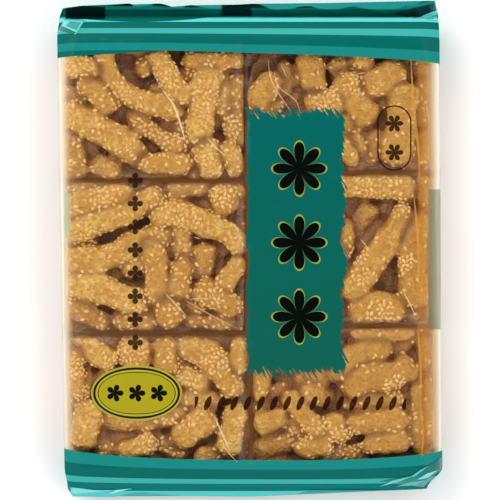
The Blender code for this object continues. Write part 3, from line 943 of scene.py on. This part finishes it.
# Two dark registration marks for the cutter, and the shaded hollow of the head fin. The third mark shows
# on the fold at the right, below.
MARKS = (((-79.2, 113.7), (9.5, 3.1)), ((-6.4, 115.4), (7.2, 2.7)))
HOLLOW_CENTRE = (-53.0, 114.6)
HOLLOW_REACH = (38.0, 5.4)
hollow = []
for axis, centre, reach in zip((u, v), HOLLOW_CENTRE, HOLLOW_REACH):
    away = add(tree, "Math", axis, centre, operation="SUBTRACT")
    hollow.append(add(tree, "Math", away, reach, operation="DIVIDE"))
hollow = add(tree, "Math", square_sum(tree, *hollow), 1.0, operation="LESS_THAN")
below = add(tree, "Math", v, HOLLOW_CENTRE[1], operation="LESS_THAN")
ink_and_shade_fields.append((linear("#04695e"), 1.0, add(tree, "Math", hollow, below, operation="MULTIPLY")))
for centre, half in MARKS:
    ink_and_shade_fields.append((linear("#032624"), 1.0, box_mask(tree, centre, half)))

# The brushed panel, with slanting bristle marks at its ragged edges.
PANEL_LEFT = -1.4
PANEL_RIGHT = 44.8
PANEL_HEAD = 66.5
PANEL_FOOT = -59.5
PANEL_WANDER = 16.0
BRISTLE = (9.0, 1.1, 1.0)
BRISTLE_SLANT = math.radians(-60)
flat = add(tree, "CombineXYZ", u, v, 0.0)
combed = add(tree, "Mapping", flat, vector_type="TEXTURE", Rotation=(0, 0, BRISTLE_SLANT), Scale=BRISTLE)
bristles = add(tree, "TexNoise", combed, Scale=1.0, Detail=2.0)
wander = add(tree, "TexNoise", add(tree, "CombineXYZ", 0.0, v, 0.0), Scale=1 / PANEL_WANDER, Detail=1.0)
wander = add(tree, "Math", wander, 0.5, operation="SUBTRACT")
left_at = add(tree, "Math", wander, 5.0, PANEL_LEFT, operation="MULTIPLY_ADD")
right_at = add(tree, "Math", wander, 11.0, PANEL_RIGHT, operation="MULTIPLY_ADD")
# Each edge of the panel, as what is the larger inside it, the smaller, and how raggedly it ends.
panel_edges = ((u, left_at, 0.8), (right_at, u, 1.5), (PANEL_HEAD, v, 4.5), (v, PANEL_FOOT, 5.0))
nearest = 1000.0
for larger, smaller, softness in panel_edges:
    edge = add(tree, "Math", larger, smaller, operation="SUBTRACT")
    edge = add(tree, "Math", edge, softness, operation="DIVIDE")
    nearest = add(tree, "Math", nearest, edge, operation="MINIMUM")
ragged = add(tree, "Math", bristles, 4.0, -2.0, operation="MULTIPLY_ADD")
ragged = add(tree, "Math", nearest, ragged, operation="ADD")
painted = add(tree, "MapRange", ragged, 0.0, 0.25, 0.0, 1.0)
fade = add(tree, "MapRange", v, PANEL_FOOT, PANEL_HEAD, 0.0, 1.0)
panel_ink = add(tree, "Mix", fade, linear("#0f5a4c"), linear("#04605a"), data_type="RGBA")
ink_and_shade_fields.append((panel_ink, 1.0, painted))

# Three generic rosettes down the panel, dark with a yellow-green outline.
ROSETTE_U = 23.5
ROSETTE_V = 3.5
ROSETTE_PITCH = 35.3
ROSETTE_RADIUS = 13.5
across = add(tree, "Math", u, ROSETTE_U, operation="SUBTRACT")
up = add(tree, "Math", v, ROSETTE_V, operation="SUBTRACT")
three = add(tree, "Math", up, operation="ABSOLUTE")
three = add(tree, "Math", three, 1.5 * ROSETTE_PITCH, operation="LESS_THAN")
up = add(tree, "Math", up, ROSETTE_PITCH / 2, -ROSETTE_PITCH / 2, operation="WRAP")
share = floret(tree, across, up, ROSETTE_RADIUS, 8)
for code, limit in (("#8a9c38", 1.0), ("#070b08", 0.935)):
    within = add(tree, "Math", share, limit, operation="LESS_THAN")
    ink_and_shade_fields.append((linear(code), 1.0, add(tree, "Math", within, three, operation="MULTIPLY")))

# A column of eight small florets on the left.
COLUMN_U = -54.7
COLUMN_V = -5.5
COLUMN_PITCH = 11.04
FLORET_RADIUS = 4.3
across = add(tree, "Math", u, COLUMN_U, operation="SUBTRACT")
up = add(tree, "Math", v, COLUMN_V, operation="SUBTRACT")
eight = add(tree, "Math", up, operation="ABSOLUTE")
eight = add(tree, "Math", eight, 4 * COLUMN_PITCH, operation="LESS_THAN")
up = add(tree, "Math", up, COLUMN_PITCH, 0.0, operation="WRAP")
up = add(tree, "Math", up, COLUMN_PITCH / 2, operation="SUBTRACT")
share = floret(tree, across, up, FLORET_RADIUS, 4)
within = add(tree, "Math", share, 0.85, operation="LESS_THAN")
ink_and_shade_fields.append((linear("#2b170c"), 0.95, add(tree, "Math", within, eight, operation="MULTIPLY")))

# A row of slanting seeds under the panel.
ROW_CENTRE = (24.0, -73.0)
ROW_PITCH = 6.3
ROW_COUNT = 16
ROW_SLANT = -0.35
ROW_SEED = (1.5, 3.4)
across = add(tree, "Math", u, ROW_CENTRE[0], operation="SUBTRACT")
up = add(tree, "Math", v, ROW_CENTRE[1], operation="SUBTRACT")
row = add(tree, "Math", across, operation="ABSOLUTE")
row = add(tree, "Math", row, ROW_COUNT * ROW_PITCH / 2, operation="LESS_THAN")
across = add(tree, "Math", up, ROW_SLANT, across, operation="MULTIPLY_ADD")
across = add(tree, "Math", across, ROW_PITCH / 2, -ROW_PITCH / 2, operation="WRAP")
across = add(tree, "Math", across, ROW_SEED[0], operation="DIVIDE")
up = add(tree, "Math", up, ROW_SEED[1], operation="DIVIDE")
within = add(tree, "Math", square_sum(tree, across, up), 1.0, operation="LESS_THAN")
ink_and_shade_fields.append((linear("#2a0f06"), 0.95, add(tree, "Math", within, row, operation="MULTIPLY")))

# The oval at the foot, ringed in black, with three florets on yellow-green.
OVAL_CENTRE = (-54.0, -68.2)
OVAL_HALF = (21.7, 13.25)
# Its rings, each as how far inside the edge it starts and its colour, and how deep the ramp of them reaches.
OVAL_RINGS = ((0.0, "#a69c34"), (1.0, "#14130a"), (2.1, "#aca23a"), (3.1, "#17140a"), (3.5, "#a2981b"))
RINGS_REACH = 6.0
OVAL_PITCH = 10.4
OVAL_FLORET = 4.6
away = [add(tree, "Math", axis, centre, operation="SUBTRACT") for axis, centre in zip((u, v), OVAL_CENTRE)]
parts = [add(tree, "Math", axis, half, operation="DIVIDE") for axis, half in zip(away, OVAL_HALF)]
share = add(tree, "Math", square_sum(tree, *parts), operation="SQRT")
length = add(tree, "Math", square_sum(tree, *away), operation="SQRT")
within = add(tree, "Math", length, share, operation="DIVIDE")
within = add(tree, "Math", within, length, operation="SUBTRACT")
rings = add(tree, "ValToRGB", add(tree, "Math", within, RINGS_REACH, operation="DIVIDE"))
rings.color_ramp.interpolation = "CONSTANT"
rings.color_ramp.elements[0].color = linear(OVAL_RINGS[0][1])
rings.color_ramp.elements[1].position = OVAL_RINGS[1][0] / RINGS_REACH
rings.color_ramp.elements[1].color = linear(OVAL_RINGS[1][1])
for start, code in OVAL_RINGS[2:]:
    rings.color_ramp.elements.new(start / RINGS_REACH).color = linear(code)
ink_and_shade_fields.append((rings.outputs["Color"], 0.97, add(tree, "Math", share, 1.0, operation="LESS_THAN")))
across = add(tree, "Math", away[0], OVAL_PITCH / 2, -OVAL_PITCH / 2, operation="WRAP")
middle = add(tree, "Math", away[0], operation="ABSOLUTE")
middle = add(tree, "Math", middle, 1.5 * OVAL_PITCH, operation="LESS_THAN")
share = floret(tree, across, away[1], OVAL_FLORET, 5)
within = add(tree, "Math", share, 0.9, operation="LESS_THAN")
ink_and_shade_fields.append((linear("#12110a"), 1.0, add(tree, "Math", within, middle, operation="MULTIPLY")))

# The outlined capsule at the right, with two florets in it.
CAPSULE_CENTRE = (68.8, 53.4)
CAPSULE_HALF = 7.45
CAPSULE_RADIUS = 7.8
CAPSULE_LINE = 0.36
CAPSULE_FLORETS = 6.9  # each from the middle
CAPSULE_FLORET = 5.0
across = add(tree, "Math", u, CAPSULE_CENTRE[0], operation="SUBTRACT")
up = distance_from(tree, v, CAPSULE_CENTRE[1])
beyond = add(tree, "Math", up, CAPSULE_HALF, operation="SUBTRACT")
beyond = add(tree, "Math", beyond, 0.0, operation="MAXIMUM")
away = add(tree, "Math", square_sum(tree, across, beyond), operation="SQRT")
line = distance_from(tree, away, CAPSULE_RADIUS)
line = add(tree, "Math", line, CAPSULE_LINE, operation="LESS_THAN")
ink_and_shade_fields.append((linear("#2a170d"), 0.95, line))
up = add(tree, "Math", up, CAPSULE_FLORETS, operation="SUBTRACT")
share = floret(tree, across, up, CAPSULE_FLORET, 6)
ink_and_shade_fields.append((linear("#26150c"), 0.95, add(tree, "Math", share, 0.85, operation="LESS_THAN")))

# Sage fields down both sides of the middle row, thin enough to see through, and the long fine lines of
# painted sheen on the loose film at both sides.
STREAKS_A_MM = 0.9
STREAK_STRETCH = 0.03
fine = add(tree, "Math", v, STREAK_STRETCH, operation="MULTIPLY")
fine = add(tree, "CombineXYZ", u, fine, 0.0)
fine = add(tree, "TexNoise", fine, Scale=STREAKS_A_MM, Detail=2.0)
sage = add(tree, "Mix", fine, linear("#43543b"), linear("#76886f"), data_type="RGBA")
fields = [(linear("#86b294"), 0.5, box_mask(tree, (-87.2, 16.5), (1.5, 10.5))),
          (linear("#86b294"), 0.25, box_mask(tree, (-88.4, -16.0), (0.5, 22.0))),
          (sage, 0.6, box_mask(tree, (88.1, -4.5), (3.1, 33.5)))]
side_sheen_and_glow = add(tree, "Mix", fine, linear("#e0d2b6"), linear("#fffcf0"), data_type="RGBA")

# The loose film at both sides lies in several layers, painted with their pale sheen and, nearer the blocks,
# with a painted glow in the dough's gold. The film drawn into the gaps between the blocks is painted dark
# brown, as painted shade.
LAYERS_MIDDLE = 0.3
LAYERS_FROM = 84.0
LAYERS_TO = 90.8
RIGHT_SIDE_SHADE_U = 83.6  # an orange strip along the right, painted shade of the blocks' sides
RIGHT_SIDE_SHADE_HALF = (2.6, 4.2)
GAP_SHADE_HALF = (0.2, 3.2)
TURNED_UP = 0.45  # the layers show in full where the film faces up by more than this
# The gap between the columns shows less of it from here to here, towards the head.
GAP_SHADE_THINS = (40.0, 52.0)
GAP_SHADE_LESS = 1.4
# Painted sheen and glow on the loose film at both sides, where it faces up.
leaning = add(tree, "Math", v, LEAN, u, operation="MULTIPLY_ADD")
away = distance_from(tree, leaning, LAYERS_MIDDLE)
layers = add(tree, "MapRange", away, LAYERS_FROM, LAYERS_TO, 0.0, 1.0, interpolation_type="SMOOTHSTEP")
side_sheen_and_glow = add(tree, "Mix", layers, linear("#e4b062"), side_sheen_and_glow, data_type="RGBA")
layers = add(tree, "Math", layers, open_window, operation="MULTIPLY")
facing = add(tree, "SeparateXYZ", add(tree, "TexCoord").outputs["Normal"])
turned_up = add(tree, "MapRange", facing.outputs["Z"], 0.0, TURNED_UP, 0.0, 1.0)
layers = add(tree, "Math", layers, turned_up, operation="MULTIPLY")
# Painted shade: the orange of the blocks' shaded right sides, laid on the film in a strip.
right_side_shade = add(tree, "MapRange", distance_from(tree, u, RIGHT_SIDE_SHADE_U), *RIGHT_SIDE_SHADE_HALF, 1.0, 0.0)
right_side_shade = add(tree, "Math", right_side_shade, open_window, operation="MULTIPLY")
# Painted shade: dark brown laid on the film where it is drawn into the gaps between the blocks.
right = add(tree, "Math", leaning, BLOCKS_X / MM, operation="GREATER_THAN")
across = distance_from(tree, leaning, BLOCKS_X / MM)
across = add(tree, "Math", across, add(tree, "MapRange", v, *GAP_SHADE_THINS, 0.0, GAP_SHADE_LESS), operation="ADD")
up = add(tree, "Math", right, -COLUMN_SHIFT / MM, COLUMN_SHIFT / 2 / MM, operation="MULTIPLY_ADD")
up = add(tree, "Math", add(tree, "Math", v, -MIDDLE_Y / MM, operation="ADD"), up, operation="ADD")
up = add(tree, "Math", up, operation="ABSOLUTE")
up = distance_from(tree, up, (BLOCK_SIZE[1] + BLOCK_GAP) / 2 / MM)
apart = add(tree, "Math", across, up, operation="MINIMUM")
gap_shade = add(tree, "MapRange", apart, *GAP_SHADE_HALF, 1.0, 0.0, interpolation_type="SMOOTHSTEP")
gap_shade = add(tree, "Math", gap_shade, open_window, operation="MULTIPLY")
ink_and_shade_fields[1:1] = [(linear("#6b4120"), 0.75, gap_shade), (linear("#bd7a22"), 0.4, right_side_shade), (side_sheen_and_glow, 0.92, layers)]
ink_and_shade_fields += fields

# Each field is laid over what is below it, on the upper face, as one coat of paint is on another.
upper = add(tree, "Math", facing.outputs["Z"], 0.0, operation="GREATER_THAN")
ink_and_shade_colour, _, cover = ink_and_shade_fields[0]
for code, hides, mask in ink_and_shade_fields[1:]:
    laid = add(tree, "Math", mask, upper, operation="MULTIPLY")
    laid = add(tree, "Math", laid, hides, operation="MULTIPLY")
    open_share = add(tree, "Math", 1.0, laid, operation="SUBTRACT")
    cover = add(tree, "Math", cover, open_share, laid, operation="MULTIPLY_ADD")
    share = add(tree, "Math", laid, cover, operation="DIVIDE")
    ink_and_shade_colour = add(tree, "Mix", share, ink_and_shade_colour, code, data_type="RGBA")

INK_GLOSS = 0.006
MIRROR_AHEAD = 0.03  # what the film mirrors seen straight on, and how much more at a grazing angle
MIRROR_GRAZING = 0.6
RIPPLE_SIZE = 6.0
grazing = add(tree, "LayerWeight", Blend=0.5).outputs["Facing"]
mirror = add(tree, "Math", grazing, 5.0, operation="POWER")
mirror = add(tree, "Math", mirror, MIRROR_GRAZING, MIRROR_AHEAD, operation="MULTIPLY_ADD")
place = add(tree, "TexCoord").outputs["Object"]
ripple = add(tree, "TexNoise", place, Scale=1000 / RIPPLE_SIZE, Detail=3.0)
crinkle = add(tree, "Bump", Strength=0.25, Distance=0.0008, Height=ripple)
gloss = add(tree, "BsdfGlossy", Roughness=0.1, Normal=crinkle)
clear = add(tree, "BsdfTransparent", linear("#fdfbf7"))
clear_film = add(tree, "MixShader", mirror, clear, gloss)
# The ink, with the painted shade, sheen and glow that are laid with it.
ink = add(tree, "BsdfPrincipled", Roughness=0.5, **{"Base Color": ink_and_shade_colour, "Specular IOR Level": 0.0})
ink = add(tree, "MixShader", INK_GLOSS, ink, gloss)
skin = add(tree, "MixShader", cover, clear_film, ink)
tree.links.new(skin.outputs[0], out.inputs["Surface"])
film.data.materials.append(wrap)
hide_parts("film_pack")
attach(film, "root")

# The folds and creases of the film.
# At each corner the film is folded over itself like gift wrap, and where it is gathered it is pinched in thin
# ridges that whiten, painted pale as partly that whitening and partly painted highlight. They are the same
# film, lying on the rest.
FOLD_LIFT = 0.25 * MM
FOLD_STACK = 0.03 * MM  # how much higher each fold lies than the one before it
FOLD_STEPS = 9
CREASE_LIFT = 0.06 * MM
CREASE_HEIGHT = 0.45 * MM
# The creases' pale colour is partly the whitening of pinched film and partly painted highlight.
CREASE_WHITE_AND_HIGHLIGHT = "#fbe3b6"
# Painted highlight on the long gathers, gold from the dough behind them.
GATHER_HIGHLIGHT_GOLD = "#dc9a3c"
FILM_SKIN = 0.05 * MM
# The folds, as colour, share of what is below that they hide and four corners in pixels of the photograph.
# Their colours are the ink of the folded-over ends, and the palest ones are painted highlights along the
# folds.
FOLDS = (
    ("#62cfcd", 1.0, (64.7, 18.0), (85.0, 20.2), (76.8, 35.5), (57.8, 32.0)),
    ("#20978f", 1.0, (70.5, 21.8), (81.6, 23.0), (77.2, 31.0), (65.6, 26.0)),
    ("#0a7268", 1.0, (60.6, 25.4), (76.9, 33.4), (74.6, 35.2), (57.9, 31.0)),
    ("#04312d", 1.0, (392.5, 12.2), (434.4, 3.0), (433.4, 11.6), (416.0, 17.4)),
    ("#63d0cf", 1.0, (417.5, 16.8), (437.6, 9.0), (437.8, 20.4), (428.0, 19.6)),
    ("#2f9f99", 1.0, (425.0, 17.4), (437.6, 13.4), (437.7, 16.4), (430.0, 18.6)),
    ("#68d3d2", 1.0, (69.0, 487.8), (97.2, 492.6), (131.0, 490.4), (70.0, 496.5)),
    ("#8fe3e2", 1.0, (104.0, 496.6), (116.0, 491.5), (131.6, 489.8), (112.0, 495.2)),
    ("#0b7d75", 1.0, (380.0, 481.0), (413.0, 474.0), (433.0, 476.0), (424.0, 487.5)),
    ("#58c6c3", 1.0, (379.0, 486.6), (392.0, 480.0), (411.0, 475.4), (397.0, 481.6)),
    ("#0a6a63", 1.0, (412.0, 474.5), (441.5, 456.0), (442.0, 469.0), (430.0, 476.5)),
    ("#4fbdb9", 1.0, (409.0, 476.5), (419.0, 469.0), (428.5, 464.0), (414.0, 475.5)),
    ("#73d6d3", 1.0, (416.0, 479.0), (426.0, 472.5), (437.0, 469.5), (427.0, 477.0)),
    ("#3aa9a4", 1.0, (396.0, 486.4), (410.0, 481.0), (427.0, 479.6), (414.0, 485.0)),
)
# The creases, as width in pixels, share that they hide and the pixels that they pass.
CREASES = (
    (1.0, 0.23, (152, 71), (160, 86), (166, 95)), (2.5, 0.39, (164, 92), (174, 106), (180, 122), (186, 143)),
    (1.5, 0.33, (207, 138), (216, 148), (227, 158)), (1.3, 0.26, (268, 61), (272, 83), (291, 113)),
    (1.2, 0.26, (274, 71), (278, 87), (295, 101), (300, 114)), (1.2, 0.23, (281, 66), (287, 79)),
    (1.7, 0.29, (165, 292), (187, 316)), (1.2, 0.23, (184, 299), (210, 314), (237, 328)),
    (1.5, 0.23, (211, 291), (221, 309)), (1.4, 0.26, (402, 290), (415, 316)),
    (2.2, 0.33, (214, 414), (222, 432), (231, 452)), (1.3, 0.23, (220, 436), (226, 448), (238, 462)),
    (1.5, 0.26, (360, 239), (367, 248)), (1.3, 0.20, (425, 105), (429, 126)),
    (1.4, 0.23, (194, 237), (201, 239)), (1.4, 0.20, (189, 299), (205, 298)),
    (1.4, 0.20, (352, 76), (366, 73)),
)
# The long gathers down the right side, painted as gold highlights, tinted by the dough behind them.
GATHERS = (
    (3.0, 0.38, (410, 60), (413, 110), (418, 157), (418, 185)),
    (3.0, 0.38, (413, 196), (417, 240), (418, 290)), (3.0, 0.38, (417, 325), (420, 372), (419, 402)),
    (3.0, 0.38, (419, 398), (422, 430), (421, 456)),
)


def film_height(place):
    """How high the film lies at a place on the pack."""
    hit, spot, _, _ = film.ray_cast(Vector((place[0], place[1], 0.1)), Vector((0, 0, -1)))
    if not hit:
        _, spot, _, _ = film.closest_point_on_mesh(Vector((place[0], place[1], 0.016)))
    return spot.z


def patch(places, lifts):
    """A small sheet that follows the film: its points and faces, from a grid of places and lifts."""
    rows, columns = lifts.shape
    points = []
    for place, lift in zip(places.reshape(-1, 2), lifts.ravel()):
        points.append((place[0], place[1], film_height(place) + lift))
    faces = []
    for i in range(rows - 1):
        for j in range(columns - 1):
            first = i * columns + j
            faces.append((first, first + columns, first + columns + 1, first + 1))
    return points, faces


def fold_patch(corners):
    """A fold with four corners."""
    a, b, c, d = (on_pack(corner) for corner in corners)
    across = np.linspace(0, 1, FOLD_STEPS)[:, None, None]
    down = np.linspace(0, 1, FOLD_STEPS)[None, :, None]
    places = (a * (1 - across) + b * across) * (1 - down) + (d * (1 - across) + c * across) * down
    return patch(places, np.full((FOLD_STEPS, FOLD_STEPS), FOLD_LIFT))


def crease_patch(width, pixels):
    """A crease: a ridge that tapers away at both ends."""
    route = smooth_route([on_pack(pixel) for pixel in pixels], 1.2 * MM)
    along = np.gradient(route, axis=0)
    along /= np.linalg.norm(along, axis=1)[:, None]
    out = np.column_stack((along[:, 1], -along[:, 0]))
    taper = np.sin(np.linspace(0.02, 0.98, len(route)) * math.pi) ** 0.7
    half = width * PHOTO_SCALE / 2 * taper
    sides = np.array((-1.0, 0.0, 1.0))
    places = route[:, None, :] + out[:, None, :] * (half[:, None] * sides)[..., None]
    lifts = CREASE_LIFT + CREASE_HEIGHT * taper[:, None] * (1 - np.abs(sides))
    return patch(places, lifts)


def film_folds():
    """All folds and creases as one mesh, with the colour and cover of each."""
    sheets = []
    for number, (code, hides, *corners) in enumerate(FOLDS):
        points, faces = fold_patch(corners)
        points = [(x, y, z + number * FOLD_STACK) for x, y, z in points]
        sheets.append((points, faces, linear(code)[:3] + [hides]))
    for code, creases in ((CREASE_WHITE_AND_HIGHLIGHT, CREASES), (GATHER_HIGHLIGHT_GOLD, GATHERS)):
        for width, hides, *pixels in creases:
            points, faces = crease_patch(width, pixels)
            sheets.append((points, faces, linear(code)[:3] + [hides]))
    points = []
    faces = []
    colours = []
    for sheet_points, sheet_faces, colour in sheets:
        faces += [tuple(len(points) + i for i in face) for face in sheet_faces]
        points += sheet_points
        colours += [colour] * len(sheet_points)
    mesh = bpy.data.meshes.new("film_folds")
    mesh.from_pydata(points, [], faces)
    mesh.shade_smooth()
    ink = mesh.color_attributes.new("ink", "FLOAT_COLOR", "POINT")
    ink.data.foreach_set("color", np.array(colours, np.float32).ravel())
    return mesh


folds = bpy.data.objects.new("film_folds", film_folds())
bpy.context.collection.objects.link(folds)
bpy.ops.object.select_all(action="DESELECT")
folds.select_set(True)
bpy.context.view_layer.objects.active = folds
bpy.ops.object.mode_set(mode="EDIT")
bpy.ops.mesh.select_all(action="SELECT")
bpy.ops.mesh.normals_make_consistent(inside=False)
bpy.ops.object.mode_set(mode="OBJECT")
skin = folds.modifiers.new("skin", "SOLIDIFY")
skin.thickness = FILM_SKIN
bpy.ops.object.modifier_apply(modifier=skin.name)

# The same BOPP film, painted pale where it is creased, partly its whitening and partly painted highlight, and
# in its ink where it is folded over, the palest folds as painted highlights.
folded, tree, out = new_material("folded BOPP film")
ink = add(tree, "Attribute", attribute_name="ink")
sheen = add(tree, "BsdfPrincipled", Roughness=0.2,
            **{"Base Color": ink.outputs["Color"], "Specular IOR Level": 0.3})
mixed = add(tree, "MixShader", ink.outputs["Alpha"], add(tree, "BsdfTransparent"), sheen)
tree.links.new(mixed.outputs[0], out.inputs["Surface"])
folds.data.materials.append(folded)
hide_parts("film_pack")
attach(folds, "root")

# The table, the light and the camera.
# A plain white table top under large soft lamps, seen from straight above as in the photograph.
bpy.ops.object.select_all(action="DESELECT")
bpy.ops.mesh.primitive_plane_add(size=4)
table = bpy.context.object
table.name = "table_top"
white, tree, out = new_material("matt white laminate")
shader = add(tree, "BsdfPrincipled", linear("#ffffff"), Roughness=0.7)
tree.links.new(shader.outputs[0], out.inputs["Surface"])
table.data.materials.append(white)

world = bpy.data.worlds.new("studio")
bpy.context.scene.world = world
world.use_nodes = True
# White walls all round, and a dark ceiling behind the camera, so that the flat film mirrors little of it.
WALL_LIGHT = 1.15
CEILING_LIGHT = 0.12
tree = world.node_tree
upward = add(tree, "SeparateXYZ", add(tree, "TexCoord").outputs["Generated"]).outputs["Z"]
strength = add(tree, "MapRange", upward, 0.80, 0.93, WALL_LIGHT, CEILING_LIGHT)
tree.links.new(strength.outputs[0], tree.nodes["Background"].inputs["Strength"])
tree.nodes["Background"].inputs["Color"].default_value = (1.0, 1.0, 1.0, 1)


def softbox(name, place, size, power):
    """A square lamp that faces the middle of the pack."""
    lamp = bpy.data.lights.new(name, "AREA")
    lamp.shape = "SQUARE"
    lamp.size = size
    lamp.energy = power
    holder = bpy.data.objects.new(name, lamp)
    holder.location = place
    holder.rotation_euler = (-Vector(place)).to_track_quat("-Z", "Y").to_euler()
    bpy.context.collection.objects.link(holder)


softbox("key_light", (-1.1, 1.1, 1.7), 1.6, 18)
softbox("fill_light", (1.3, -0.6, 1.7), 1.6, 9)

CAMERA_DISTANCE = 1.6  # from a plane at this height, a little under the top of the pack
CAMERA_PLANE = 0.024
SENSOR = 36
camera = bpy.data.objects.new("camera", bpy.data.cameras.new("camera"))
bpy.context.collection.objects.link(camera)
camera.location = (PHOTO_CENTRE.x, PHOTO_CENTRE.y, CAMERA_DISTANCE + CAMERA_PLANE)
camera.data.sensor_width = SENSOR
camera.data.lens = SENSOR * CAMERA_DISTANCE / (500 * PHOTO_SCALE)
bpy.context.scene.camera = camera
bpy.context.scene.view_settings.view_transform = "Standard"
